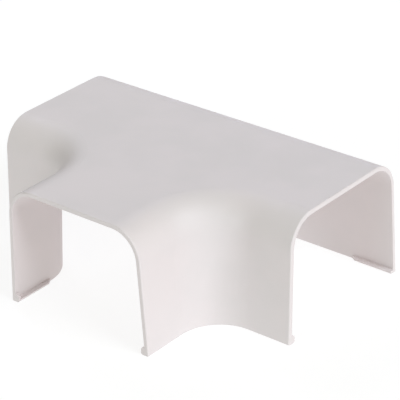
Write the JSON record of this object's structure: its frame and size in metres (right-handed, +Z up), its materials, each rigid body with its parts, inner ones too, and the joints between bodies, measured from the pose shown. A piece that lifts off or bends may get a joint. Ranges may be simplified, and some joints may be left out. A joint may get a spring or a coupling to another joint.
{
  "type": "trunking tee fitting",
  "caption": "Moulded tee cover for rectangular trunking: an open-bottomed hood with leaning walls, rounded shoulders, curved corners and clip ledges inside each mouth.",
  "frame": {"origin": "where the centrelines of the run and of the branch cross, in the plane of the bottom rim", "axes": "+X along the straight run, -Y out of the branch, +Z up from the open underside to the flat top"},
  "size_m": [0.1756, 0.1304, 0.0624],
  "materials": {
    "white_pvc": "smooth moulded rigid PVC, white, low sheen"
  },
  "bodies": {
    "root": {"tee_cover": "white_pvc"}
  },
  "joints": []
}
